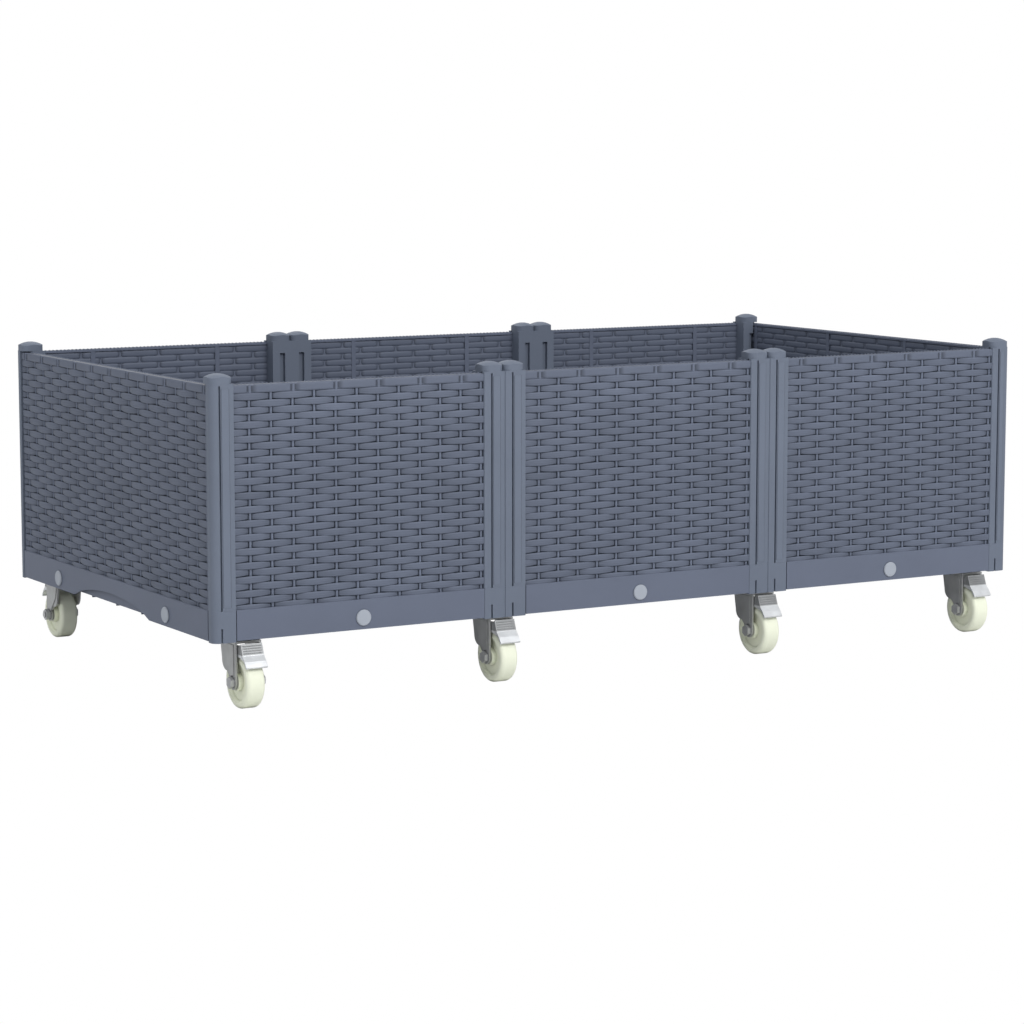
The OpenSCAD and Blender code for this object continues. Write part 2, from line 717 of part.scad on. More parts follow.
// Leg of the fork in the y-z plane, drawn in by a margin for the pressed panel
module leg_plan(margin) {
    top = crown_top - margin;
    knee = [leg_back * leg_knee_shares[0], axle_z + (crown_top - axle_z) * leg_knee_shares[1]];
    end_r = leg_end_r - margin / 2;
    polygon([[-leg_front + margin, top], [leg_back - margin, top], [knee[0] - margin, knee[1]],
        [-trail + end_r * cos(leg_tangent), axle_z + end_r * sin(leg_tangent)],
        [-trail, axle_z + margin * 2], [-leg_front + margin, axle_z + margin * 2]]);
    if (margin == 0) {
        translate([-trail, axle_z]) circle(leg_end_r);
        translate([knee[0] - leg_back, knee[1]]) circle(leg_back);
    }
}

module castor_fork(i) color(zinc) at_castor(i) difference() {
    union() {
        for (m = [0, 1]) mirror([m, 0, 0]) {
            translate([leg_x, 0]) along_x(fork_t) leg_plan(0);
            translate([leg_x + over / 2, 0]) along_x(fork_t - over / 2 + leg_emboss)
                leg_plan(leg_emboss_margin);
        }
        translate([-leg_x - over, -leg_front, crown_z])
            cube([leg_gap + 2 * over, leg_front + leg_back, fork_t]);
        translate([0, 0, crown_z]) cylinder(r = leg_out + fork_t, h = fork_t);
        translate([-leg_out, -pedal_pin_y, pin_z]) rotate([0, 90, 0])
            cylinder(d = pedal_pin_d, h = 2 * leg_out);
    }
    translate([0, 0, crown_z - over]) cylinder(d = kingpin_d + 2 * run_fit, h = fork_t + 2 * over);
    on_axle(-leg_out - over - leg_emboss)
        cylinder(d = axle_d + 2 * run_fit, h = 2 * (leg_out + over + leg_emboss));
}

// Axle bolt with its nut, and the bush that keeps the legs apart
module castor_axle(i) color(zinc) at_castor(i) {
    on_axle(-leg_out) cylinder(d = axle_d, h = 2 * leg_out + nut_h + bolt_end_l);
    on_axle(-leg_out - bolt_head_h) cylinder(d = hex_af / cos(30), h = bolt_head_h, $fn = 6);
    on_axle(leg_out) difference() {
        cylinder(d = hex_af / cos(30), h = nut_h, $fn = 6);
        translate([0, 0, -over]) cylinder(d = axle_d + 2 * run_fit, h = nut_h + 2 * over);
    }
    on_axle(-leg_x) difference() {
        cylinder(d = bush_d, h = leg_gap);
        translate([0, 0, -over]) cylinder(d = axle_d + 2 * run_fit, h = leg_gap + 2 * over);
    }
}

// Half section of the wheel: hub, recessed web, and rim with round tread edges
module wheel_section() {
    r = wheel_d / 2;
    bore_r = bush_d / 2 + run_fit;
    translate([bore_r, -hub_w / 2]) square([hub_d / 2 - bore_r, hub_w]);
    translate([bore_r, -web_w / 2]) square([r - bore_r - wheel_edge_r, web_w]);
    translate([rim_in_d / 2, -wheel_w / 2]) square([r - rim_in_d / 2 - wheel_edge_r, wheel_w]);
    translate([r - wheel_edge_r - over, -wheel_w / 2 + wheel_edge_r])
        square([wheel_edge_r + over, wheel_w - 2 * wheel_edge_r]);
    for (s = [-1, 1]) translate([r - wheel_edge_r, s * (wheel_w / 2 - wheel_edge_r)]) circle(wheel_edge_r);
}

module castor_wheel(i) color(nylon) at_castor(i) on_axle(0) rotate_extrude() wheel_section();

// Outer face of the pedal as points in the y-z plane, from its top edge to its lip
function running_sum(v, n) = n < 0 ? [0, 0] : v[n] + running_sum(v, n - 1);
pedal_steps = [for (s = concat(pedal_bend_shares, [pedal_lip_share])) [-s[0], -s[1]] * pedal_w];
pedal_top = [-pedal_top_y, seat_z - pedal_top_drop];
pedal_face = [for (n = [-1 : len(pedal_steps) - 1]) pedal_top + running_sum(pedal_steps, n)];

// Offsets an open line of points to one side, keeping the sheet's thickness at bends
function unit(v) = v / norm(v);
function side_of(a, b) = let (d = unit(b - a)) [-d[1], d[0]];
function miter(p, n, t) = n == 0 ? side_of(p[0], p[1]) * t
    : n == len(p) - 1 ? side_of(p[n - 1], p[n]) * t
    : let (a = side_of(p[n - 1], p[n]), b = side_of(p[n], p[n + 1])) (a + b) * t / (1 + a * b);
function inset_line(p, t) = [for (n = [0 : len(p) - 1]) p[n] + miter(p, n, t)];

module castor_pedal(i) color(zinc) at_castor(i) {
    inner = inset_line(pedal_face, pedal_t);
    pin = [-pedal_pin_y, pin_z];
    mid = (pedal_face[1] + pedal_face[2]) / 2;
    dir = unit(pedal_face[2] - pedal_face[1]);
    facing = side_of(pedal_face[1], pedal_face[2]);
    shoe_l = shoe_l_share * pedal_w;
    shoe_t = pedal_t + shoe_t_share * pedal_w;
    translate([-pedal_w / 2, 0]) along_x(pedal_w)
        polygon(concat(pedal_face, [for (n = [len(inner) - 1 : -1 : 0]) inner[n]]));
    translate([-wheel_w / 2 + wheel_edge_r / 2, 0]) along_x(wheel_w - wheel_edge_r)
        polygon([mid - dir * shoe_l / 2, mid + dir * shoe_l / 2,
            mid + dir * shoe_l / 2 + facing * shoe_t, mid - dir * shoe_l / 2 + facing * shoe_t]);
    for (m = [0, 1]) mirror([m, 0, 0]) translate([pedal_w / 2 - pedal_t, 0]) difference() {
        along_x(pedal_t) {
            translate(pin) circle(pedal_ear_r);
            polygon([pin + [0, pedal_ear_r], pedal_face[0] + [pedal_t / 2, -pedal_t],
                pedal_face[1] + [pedal_t / 2, 0], pedal_face[2] + [pedal_t, 0], pin - [0, pedal_ear_r]]);
        }
        translate([-over, -pedal_pin_y, pin_z]) rotate([0, 90, 0])
            cylinder(d = pedal_pin_d + 2 * run_fit, h = pedal_t + 2 * over);
    }
    for (k = [1 : pedal_ribs]) {
        p = pedal_face[0] + (pedal_face[1] - pedal_face[0]) * k / (pedal_ribs + 1);
        translate([-pedal_w / 2 + pedal_t, p[0], p[1]]) rotate([0, 90, 0])
            cylinder(r = pedal_rib_r, h = pedal_w - 2 * pedal_t);
    }
}

// Trays, walls and posts
for (i = [0 : modules - 1]) {
    base_tray(i);
    front_wall(i);
    rear_wall(i);
    posts(i);
}
end_wall(false);  // end_wall_left
end_wall(true);  // end_wall_right
post_caps();
tray_couplers();

// Drain plugs
for (i = [0 : plugs - 1])
    drain_plug(i);

// Castors
castor_plates();
castor_screws();
for (i = [0 : castors - 1]) {
    castor_fork(i);
    castor_axle(i);
    castor_wheel(i);
    castor_pedal(i);
}
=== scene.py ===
import math

import bpy
import numpy as np
from mathutils import Matrix, Vector


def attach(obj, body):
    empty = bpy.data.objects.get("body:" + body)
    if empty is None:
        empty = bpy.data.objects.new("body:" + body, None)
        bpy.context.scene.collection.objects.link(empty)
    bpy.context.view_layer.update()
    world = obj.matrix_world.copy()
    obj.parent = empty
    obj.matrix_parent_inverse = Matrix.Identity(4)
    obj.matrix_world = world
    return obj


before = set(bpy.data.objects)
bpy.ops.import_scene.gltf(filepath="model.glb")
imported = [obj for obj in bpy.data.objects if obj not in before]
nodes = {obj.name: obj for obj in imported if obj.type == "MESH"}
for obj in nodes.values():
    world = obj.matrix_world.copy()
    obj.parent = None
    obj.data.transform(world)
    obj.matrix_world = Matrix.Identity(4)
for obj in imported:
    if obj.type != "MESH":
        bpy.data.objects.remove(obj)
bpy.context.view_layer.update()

# Sizes in metres, which follow the CAD part's
LENGTH, DEPTH, MODULE = 1.2, 0.63, 0.4
POST = 0.03
BASE_Z = 0.086                      # lower edge of the skirts above the ground
SKIRT_H, WEAVE_H, RIM_H = 0.037, 0.269, 0.0104
ROW, STAKE = 0.008435, 0.02876      # from row to row, and from stake to stake
FIRST, END_FIRST = 0.021, 0.0134    # first stake of a long wall's and an end wall's field
END_IN = 0.017                      # start of an end wall's field from the corner
ROWS = 31
BAYS = ("left", "middle", "right")
LONG_SEED, END_SEED = 3, 5

# Heights of a wall are measured from BASE_Z
RIM_Z = SKIRT_H + WEAVE_H
FIELD_Z = RIM_Z - RIM_H
LONG_W = MODULE - 2 * POST
END_W = DEPTH - 2 * END_IN
HALF_TURN = Matrix.Rotation(math.pi, 4, "Z")


# ---------------------------------------------------------------- shader nodes

WHITE = (1, 1, 1, 1)
AO_SAMPLES, AO_RANGE = 8, (0.15, 0.85)
MOTTLE_FROM, MOTTLE_TO = 0.35, 0.65


def srgb(text):
    """Linear colour of a hex sRGB colour, without alpha."""
    out = []
    for k in (0, 2, 4):
        c = int(text[k:k + 2], 16) / 255
        out.append(c / 12.92 if c <= 0.04045 else ((c + 0.055) / 1.055) ** 2.4)
    return out


def new_material(name):
    """Material that has only an output node, with its tree and the output's socket."""
    m = bpy.data.materials.new(name)
    m.use_nodes = True
    t = m.node_tree
    t.nodes.clear()
    return m, t, t.nodes.new("ShaderNodeOutputMaterial").inputs["Surface"]


def principled(name):
    """Material with a Principled BSDF, with its tree and that node."""
    m, t, surface = new_material(name)
    bsdf = t.nodes.new("ShaderNodeBsdfPrincipled")
    t.links.new(bsdf.outputs["BSDF"], surface)
    return m, t, bsdf


def place(t):
    """A point's place in its object's frame, which for a CAD node is the row frame."""
    return t.nodes.new("ShaderNodeTexCoord").outputs["Object"]


def split(t, vector):
    """The X, Y and Z of a vector."""
    node = t.nodes.new("ShaderNodeSeparateXYZ")
    t.links.new(vector, node.inputs["Vector"])
    return node.outputs


def calc(t, operation, *values):
    """A Math node's result for values that are numbers or sockets."""
    node = t.nodes.new("ShaderNodeMath")
    node.operation = operation
    for k, v in enumerate(values):
        if isinstance(v, (int, float)):
            node.inputs[k].default_value = v
        else:
            t.links.new(v, node.inputs[k])
    return node.outputs["Value"]


def remap(t, value, source, target):
    """A value moved from the source range to the target range, and kept within it."""
    node = t.nodes.new("ShaderNodeMapRange")
    sockets = ("From Min", "From Max", "To Min", "To Max")
    for socket, v in zip(sockets, (*source, *target)):
        node.inputs[socket].default_value = v
    t.links.new(value, node.inputs["Value"])
    return node.outputs["Result"]


def scaled(t, color, factor):
    """A colour times a factor."""
    mul = t.nodes.new("ShaderNodeVectorMath")
    mul.operation = "SCALE"
    t.links.new(color, mul.inputs["Vector"])
    t.links.new(factor, mul.inputs["Scale"])
    return mul.outputs["Vector"]


def noise(t, scale, detail):
    """A noise value in the object's frame."""
    node = t.nodes.new("ShaderNodeTexNoise")
    node.inputs["Scale"].default_value = scale
    node.inputs["Detail"].default_value = detail
    t.links.new(place(t), node.inputs["Vector"])
    return node.outputs["Fac"]


def mottled(t, value, base, spread):
    """A colour that a noise value varies round the base, by a share of it."""
    ramp = t.nodes.new("ShaderNodeValToRGB")
    for k, (at, level) in enumerate(((MOTTLE_FROM, 1 - spread), (MOTTLE_TO, 1 + spread))):
        stop = ramp.color_ramp.elements[k]
        stop.position = at
        stop.color = [min(1, v * level) for v in srgb(base)] + [1]
    t.links.new(value, ramp.inputs["Fac"])
    return ramp.outputs["Color"]


def painted_gap_shade(t, color, distance, shade_low):
    """Paints shade into a colour, down to a share of it, in gaps narrower than the distance, from
    an ambient occlusion node.
    """
    ao = t.nodes.new("ShaderNodeAmbientOcclusion")
    ao.samples = AO_SAMPLES
    ao.inputs["Distance"].default_value = distance
    return scaled(t, color, remap(t, ao.outputs["AO"], AO_RANGE, (shade_low, 1)))


def painted(t, color):
    """Multiplies a colour by the mesh's tone attribute, which holds painted shade and light as well
    as random tone.
    """
    tone_and_shade = t.nodes.new("ShaderNodeAttribute")
    tone_and_shade.attribute_name = "tone_and_shade"
    return scaled(t, color, tone_and_shade.outputs["Fac"])


def behind_weave(t, color):
    """Darkens a colour where the weave shades the wall: wholly from 5.4 to 8.5 mm behind the
    outer faces, and not before 4 mm or after 9 mm."""
    span, outer, inner, shade_low = 0.02, (0.20, 0.45), (0.27, 0.425), 0.35
    at = split(t, place(t))
    depths = [calc(t, "SUBTRACT", half, calc(t, "ABSOLUTE", at[axis]))
              for axis, half in (("X", LENGTH / 2), ("Y", DEPTH / 2))]
    share = calc(t, "DIVIDE", calc(t, "MINIMUM", *depths), span)
    ramp = t.nodes.new("ShaderNodeValToRGB")
    stops = ramp.color_ramp.elements
    stops[0].position, stops[1].position = outer
    for k in inner:
        stops.new(k).color = (shade_low, shade_low, shade_low, 1)
    for k in (0, 3):
        stops[k].color = WHITE
    t.links.new(share, ramp.inputs["Fac"])
    mul = t.nodes.new("ShaderNodeVectorMath")
    mul.operation = "MULTIPLY"
    t.links.new(color, mul.inputs[0])
    t.links.new(ramp.outputs["Color"], mul.inputs[1])
    return mul.outputs["Vector"]


def shaded_above(t, color, height):
    """Paints shade on a colour above a height of the row frame, so that it is darker there."""
    half_step, shade_low = 0.0006, 0.42
    source = (height - half_step, height + half_step)
    return scaled(t, color, remap(t, split(t, place(t))["Z"], source, (1, shade_low)))


def white_to_camera(t, other, white, surface):
    """Shows the white shader to camera rays and the other one to all other rays."""
    path = t.nodes.new("ShaderNodeLightPath")
    mix = t.nodes.new("ShaderNodeMixShader")
    t.links.new(path.outputs["Is Camera Ray"], mix.inputs["Fac"])
    t.links.new(other, mix.inputs[1])
    t.links.new(white, mix.inputs[2])
    t.links.new(mix.outputs["Shader"], surface)


# ---------------------------------------------------------------- materials

NOISE_DETAIL = 4
MOTTLE_SCALE = 9
GRAIN_SCALE, GRAIN_DETAIL, GRAIN_STRENGTH, GRAIN_H = 1600, 3, 0.2, 0.0002
PLASTIC_SPECULAR = 0.25
SPANGLE_SCALE, SPANGLE_SPREAD = 60, 0.08
STEEL_METALLIC = 0.65
# Painted shade in the steel's narrow gaps: the gap distance and the darkest share of its colour
STEEL_SHADE_GAP, STEEL_SHADE_LOW = 0.004, 0.35
SMOOTHER, ROUGHER = 0.07, 0.1       # how far the spangle moves the roughness
RIBS_FROM_SHARE = 0.53              # lower end of a pedal's ribs, as a share of its height


def plastic(name, base, spread, roughness, shade_gap=0, shade_low=1, tone_and_shade=False, band=False):
    """Moulded plastic with faint mottling and a fine grain; where asked, also painted shade in
    narrow gaps, painted shade behind the weave, and painted shade and light from the mesh's tone
    attribute.
    """
    m, t, bsdf = principled(name)
    color = mottled(t, noise(t, MOTTLE_SCALE, NOISE_DETAIL), base, spread)
    if tone_and_shade:
        color = painted(t, color)
    if band:
        color = behind_weave(t, color)
    if shade_gap:
        color = painted_gap_shade(t, color, shade_gap, shade_low)
    t.links.new(color, bsdf.inputs["Base Color"])
    bump = t.nodes.new("ShaderNodeBump")
    bump.inputs["Strength"].default_value = GRAIN_STRENGTH
    bump.inputs["Distance"].default_value = GRAIN_H
    t.links.new(noise(t, GRAIN_SCALE, GRAIN_DETAIL), bump.inputs["Height"])
    t.links.new(bump.outputs["Normal"], bsdf.inputs["Normal"])
    bsdf.inputs["Roughness"].default_value = roughness
    bsdf.inputs["Specular IOR Level"].default_value = PLASTIC_SPECULAR
    return m


def steel(name, base, roughness, shade_above=None):
    """Zinc-plated sheet steel with a faint spangle, which also varies its roughness, with painted
    shade in narrow gaps and, where asked, painted shade above a height.
    """
    m, t, bsdf = principled(name)
    spangle = noise(t, SPANGLE_SCALE, NOISE_DETAIL)
    color = mottled(t, spangle, base, SPANGLE_SPREAD)
    if shade_above:
        color = shaded_above(t, color, shade_above)
    t.links.new(painted_gap_shade(t, color, STEEL_SHADE_GAP, STEEL_SHADE_LOW), bsdf.inputs["Base Color"])
    rough = remap(t, spangle, (0, 1), (roughness - SMOOTHER, roughness + ROUGHER))
    t.links.new(rough, bsdf.inputs["Roughness"])
    bsdf.inputs["Metallic"].default_value = STEEL_METALLIC
    return m


# The pedals' upper, ribbed part gets painted shade from the lower end of the ribs up, where the
# tilted flange and ribs lie in shade
pedal_z = [corner[2] for corner in nodes["castor_pedal_1"].bound_box]
ribs_z = min(pedal_z) + RIBS_FROM_SHARE * (max(pedal_z) - min(pedal_z))

# Where a material below is given a gap distance, shade is painted into gaps narrower than it, down
# to the given share of its colour
weave_mat = plastic("woven_plastic", "606777", 0.05, 0.55, shade_gap=0.004, shade_low=0.8, tone_and_shade=True)
wall_mat = plastic("wall_plastic", "656c7d", 0.03, 0.48, shade_gap=0.004, shade_low=0.45, band=True)
post_mat = plastic("post_plastic", "697180", 0.03, 0.58)
strip_mat = plastic("strip_plastic", "697180", 0.03, 0.58, tone_and_shade=True)
tray_mat = plastic("tray_plastic", "666d7e", 0.05, 0.5, shade_gap=0.03, shade_low=0.25)
plug_mat = plastic("plug_plastic", "a4aab4", 0.03, 0.45, shade_gap=0.0015, shade_low=0.45)
nylon_mat = plastic("white_nylon", "f1f4df", 0.015, 0.4, shade_gap=0.006, shade_low=0.6)
fork_mat = steel("zinc_fork", "b4b5b5", 0.42)
pedal_mat = steel("zinc_pedal", "dcdee0", 0.38, shade_above=ribs_z)
bolt_mat = steel("zinc_bolt", "bcbdbe", 0.36)

# Material of the CAD nodes whose names hold these words. The others are fork_mat.
MATERIALS = (("_wall_", wall_mat), ("posts_", post_mat), ("post_caps", post_mat),
             ("base_tray", tray_mat), ("tray_couplers", tray_mat), ("drain_plug", plug_mat),
             ("_wheel_", nylon_mat), ("_pedal_", pedal_mat), ("_axle_", bolt_mat),
             ("castor_screws", bolt_mat))
EDGES = {post_mat: 0.0006, plug_mat: 0.0003, fork_mat: 0.0003, pedal_mat: 0.0003}
EDGE_SEGMENTS, EDGE_ANGLE = 2, math.radians(40)

for name, o in nodes.items():
    m = next((m for word, m in MATERIALS if word in name), fork_mat)
    o.data.materials.clear()
    o.data.materials.append(m)
    if m in EDGES and name != "castor_plates":
        bevel = o.modifiers.new("edges", "BEVEL")
        bevel.width = EDGES[m]
        bevel.segments = EDGE_SEGMENTS
        bevel.limit_method = "ANGLE"
        bevel.angle_limit = EDGE_ANGLE
        bevel.harden_normals = True


# ---------------------------------------------------------------- meshes
# A shape is a list of points, a list of faces, and a tone with painted shade and light for each
# point or None.

def new_object(name, data):
    o = bpy.data.objects.new(name, data)
    bpy.context.scene.collection.objects.link(o)
    return o


def new_mesh(name, shape, material, smooth=True):
    verts, faces, tones = shape
    me = bpy.data.meshes.new(name)
    me.from_pydata(verts, [], faces)
    me.update()
    if smooth:
        me.polygons.foreach_set("use_smooth", [True] * len(me.polygons))
    if tones is not None:
        tone_and_shade = me.attributes.new("tone_and_shade", "FLOAT", "POINT")
        tone_and_shade.data.foreach_set("value", np.array(tones, dtype=np.float32))
    me.materials.append(material)
    return me


def joined(shapes):
    """One shape of several."""
    verts, faces, tones = [], [], []
    for v, f, t in shapes:
        base = len(verts)
        verts += v
        faces += [tuple(base + i for i in q) for q in f]
        tones += t
    return verts, faces, tones


def grid_faces(n_along, n_across, flip=False):
    """Quads of a grid of points stored one cross-section after another."""
    out = []
    for a in range(n_along - 1):
        for b in range(n_across - 1):
            p = a * n_across + b
            q = (p, p + n_across, p + n_across + 1, p + 1)
            out.append(q[::-1] if flip else q)
    return out


def sheet(xs, y, z, tone_and_shade, flip=False):
    """A strip with cross-sections at xs. In y, z and the tone with painted shade and light each of
    them has a row, with a number for each point across the strip."""
    x = np.broadcast_to(xs[:, None], y.shape)
    verts = np.stack([x, y, z], axis=-1).reshape(-1, 3)
    return verts.tolist(), grid_faces(*y.shape, flip), tone_and_shade.ravel().tolist()


def half_rod(x, y, half_w, half_d, z0, z1, n, tone_and_shade):
    """The outer half of an upright rod, from n points across."""
    verts = []
    for a in range(n):
        ang = math.pi * a / (n - 1)
        for z in (z0, z1):
            verts.append((x - half_w * math.cos(ang), y - half_d * math.sin(ang), z))
    return verts, grid_faces(n, 2), [tone_and_shade] * len(verts)


def ease(v, start, length):
    """0 up to the start, 1 from the length beyond it on, and smooth between."""
    v = np.clip((v - start) / length, 0, 1)
    return v * v * (3 - 2 * v)


def bell(v, middle, width):
    """1 in the middle, falling away smoothly on both sides."""
    return np.exp(-((v - middle) / width) ** 2)


def rounding(t, depth, power):
    """How far a rounded strip lies back, from 0 at t = 0 to the depth at t = -1 and 1."""
    return depth * (1 - np.sqrt(np.clip(1 - np.abs(t) ** power, 0, 1)))


# ---------------------------------------------------------------- woven fields
# A field has x along its wall, y inward from the wall's outer plane, and z up.

# Places of a strand's cross-sections from its middle, and of the points across it, from -1
# at its lower edge to 1 at its upper edge
MM = 0.001
HALF_ALONG = np.array([3, 6, 9.5, 13, 16.5, 19.5, 22.5, 25, 25.6, 26.1, 26.6, 27.1, 28.6]) * MM
ALONG = np.concatenate([-HALF_ALONG[::-1], [0], HALF_ALONG])
ACROSS = np.array([-1, -0.97, -0.9, -0.78, -0.6, -0.42, -0.34, -0.26, 0,
                   0.2, 0.3, 0.4, 0.62, 0.8, 0.92, 0.98, 1])
REACH = HALF_ALONG[-1]
HALF_H, TAPER, TAPER_AT = 0.00445, 0.00028, 0.0144
CREST_Y, BACK_Y = 0.0012, 0.0056
ARCH, ARCH_AT, ARCH_POWER = 0.0022, 0.024, 2.2
DIVE_Y, DIVE_AT, DIVE_L = 0.0055, 0.0253, 0.0016
EDGE_Y, EDGE_POWER = 0.0012, 3.2

# Two fine lines along a strand: their places across it and their widths, as notches and as
# shade, with the depth of the notches and the strength of each shade
LINES_AT = (-0.34, 0.30)
NOTCH_W, NOTCH_Y = (0.07, 0.09), 0.00018
SHADE_W, SHADE = (0.08, 0.10), (0.10, 0.08)

# Tone of a strand, with painted shade and light: the tone along it, with painted shade towards its
# ends and where it dives, and painted shade towards its lower edge and painted light towards its
# upper edge
TONE, END_SHADE, END_SHADE_AT = 1.02, 0.16, 0.025
DIVE_SHADE, DIVE_SHADE_AT, DIVE_SHADE_L = 0.3, 0.0254, 0.0012
LOWER_SHADE, LOWER_AT, LOWER_L = 0.35, 0.72, 0.28
UPPER_LIGHT, UPPER_AT, UPPER_L = 0.05, 0.35, 0.4

# How much one strand differs from the next
VARY_Y, VARY_H, VARY_SLOPE, VARY_TONE, VARY_Z = 0.00010, 0.012, 0.005, 0.03, 0.00015


def row_z(rows, j, top):
    """Middle height of row j of a number of rows below the top."""
    return top - (rows - j - 0.5) * ROW


def stake_places(w, first, step=1):
    """Places of the stakes, or of every step-th one, in a field that is w wide."""
    return [first + k * STAKE for k in range(0, math.ceil(w / STAKE), step)]


def sections(w, middles, offsets):
    """Places of the cross-sections of a strip that is w wide and has features at middles."""
    near = [c + d for c in middles for d in offsets if 0 < c + d < w]
    return np.array(sorted([0.0, w] + near))


def strands(w, first, rows, top, seed):
    """Outer strands. Each arches over one stake and dives behind the stakes beside it."""
    rng = np.random.default_rng(seed)
    t = ACROSS
    notch = NOTCH_Y * (bell(t, LINES_AT[0], NOTCH_W[0]) + bell(t, LINES_AT[1], NOTCH_W[1]))
    edge = rounding(t, EDGE_Y, EDGE_POWER)
    # Painted shade in the two fine lines and towards the lower edge, and painted light towards the
    # upper edge
    shade = 1
    for at, width, strength in zip(LINES_AT, SHADE_W, SHADE):
        shade = shade - strength * bell(t, at, width)
    shade = shade * (1 - LOWER_SHADE * ease(-t, LOWER_AT, LOWER_L))
    shade = shade * (1 + UPPER_LIGHT * ease(t, UPPER_AT, UPPER_L))
    last = math.ceil((w - first) / STAKE)
    out = []
    for j in range(rows):
        for k in range(j % 2 - 2, last + 1, 2):
            xc = first + k * STAKE
            d = ALONG[(xc + ALONG > 0) & (xc + ALONG < w)]
            if len(d) < 2:
                continue
            if xc - REACH < 0:
                d = np.concatenate([[-xc], d])
            if xc + REACH > w:
                d = np.concatenate([d, [w - xc]])
            vary = rng.standard_normal(5)
            a = np.abs(d)
            y = CREST_Y + ARCH * (a / ARCH_AT) ** ARCH_POWER + VARY_Y * vary[0]
            y = y + (DIVE_Y - y) * ease(a, DIVE_AT, DIVE_L)
            half = (HALF_H - TAPER * (a / TAPER_AT) ** 2) * (1 + VARY_H * vary[1])
            z = row_z(rows, j, top) + VARY_Z * vary[4] + VARY_SLOPE * vary[2] * d
            # Random tone, with painted shade towards the ends and where the strand dives behind the
            # stakes
            tone_and_shade = TONE + VARY_TONE * vary[3] - END_SHADE * (a / END_SHADE_AT) ** 2
            tone_and_shade = tone_and_shade * (1 - DIVE_SHADE * ease(a, DIVE_SHADE_AT, DIVE_SHADE_L))
            out.append(sheet(xc + d, np.minimum(y[:, None] + edge + notch, BACK_Y),
                             z[:, None] + half[:, None] * t, tone_and_shade[:, None] * shade))
    return joined(out)


def stakes(w, first, z0, z1):
    """Upright round stakes behind the strands, with painted light that makes them lighter than the
    strands.
    """
    depth, r, n, tone_and_shade = 0.0050, 0.0018, 10, 1.25
    return joined([half_rod(x, depth, r, r, z0, z1, n, tone_and_shade)
                   for x in stake_places(w, first) if x < w - r / 2])


def rail(w, first, z0, z1):
    """Smooth top rail, dented where every second stake comes up in front of it, with painted shade
    in the dents and along its lower edge and painted light on the stake tips.
    """
    front, edge_y, edge_power, lower_edge_shade = 0.0014, 0.0011, 6, 0.75
    margin, offsets = 0.004, (-0.020, -0.010, -0.0046, -0.0040, -0.0034, -0.0022,
                              0.0022, 0.0028, 0.0034, 0.010, 0.020)
    dent_y, dent_half, dent_side, dent_shade = 0.0009, 0.0044, 0.0010, 0.5
    n_across = 9
    t = np.linspace(-1, 1, n_across)
    marks = [x for x in stake_places(w, first, 2) if margin < x < w - margin]
    xs = sections(w, marks, offsets)
    nearest = np.abs(xs[:, None] - np.array(marks)).min(axis=1)
    dent = ease(-nearest, -dent_half, dent_side)[:, None]
    y = front + dent_y * dent + rounding(t, edge_y, edge_power)
    z = (z0 + z1) / 2 + (z1 - z0) / 2 * np.broadcast_to(t, y.shape)
    tone_and_shade = (1 - dent_shade * dent) * np.where(t == -1, lower_edge_shade, 1)

    tip_in, tip_y, tip_w, tip_d = 0.0003, 0.0024, 0.0018, 0.0011
    tip_from, tip_to, tip_n, tip_light = z0 - 0.001, z1 - 0.0006, 7, 1.1
    tips = [half_rod(c + tip_in, tip_y, tip_w, tip_d, tip_from, tip_to, tip_n, tip_light)
            for c in marks]
    return joined([sheet(xs, y, z, tone_and_shade)] + tips)


def inner_strands(w, first, rows, top):
    """Rows on the inner face: broad flat strands with narrow dips behind every second stake."""
    back, edge_y, edge_power = 0.0109, 0.0009, 4
    offsets = (-0.014, -0.009, -0.006, -0.004, -0.0022, -0.0008,
               0.0008, 0.0022, 0.004, 0.006, 0.009)
    dip_y, dip_w, dip_shade = 0.0021, 0.0028, 0.55
    half_h, waist, waist_w = 0.0042, 0.0005, 0.007
    n_across = 7
    t = np.linspace(-1, 1, n_across)
    xs = sections(w, [x for x in stake_places(w, first) if x < w], offsets)
    out = []
    for j in range(rows):
        # Where u is even, the row passes outside a stake, so it dips on the inner face
        u = (xs - first) / STAKE + j
        near = np.abs(u - 2 * np.round(u / 2)) * STAKE
        dip = bell(near, 0, dip_w)[:, None]
        half = half_h - waist * bell(near, 0, waist_w)[:, None]
        y = back - dip_y * dip - rounding(t, edge_y, edge_power)
        tone_and_shade = np.broadcast_to(1 - dip_shade * dip, y.shape)
        out.append(sheet(xs, y, row_z(rows, j, top) + half * t, tone_and_shade, flip=True))
    return joined(out)


def beads(w, y, z):
    """Fine beads along the top of the rim's inner edge, with painted shade on their lowest ring and
    painted light on the rings above.
    """
    pitch, half_l, half_w, n_round = 0.0056, 0.0019, 0.0013, 8
    rings = ((-0.0002, 1.0, 0.75), (0.0005, 0.8, 1.1), (0.0009, 0.35, 1.1))
    n = round(w / pitch)
    faces = []
    for r in range(len(rings) - 1):
        for a in range(n_round):
            p, q = r * n_round + a, r * n_round + (a + 1) % n_round
            faces.append((p, q, q + n_round, p + n_round))
    faces.append(tuple(range((len(rings) - 1) * n_round, len(rings) * n_round)))
    out = []
    for k in range(n):
        x = (k + 0.5) * w / n
        verts, tones = [], []
        for height, size, tone_and_shade in rings:
            for a in range(n_round):
                ang = 2 * math.pi * a / n_round
                verts.append((x + half_l * size * math.cos(ang),
                              y + half_w * size * math.sin(ang), z + height))
                tones.append(tone_and_shade)
        out.append((verts, faces, tones))
    return joined(out)


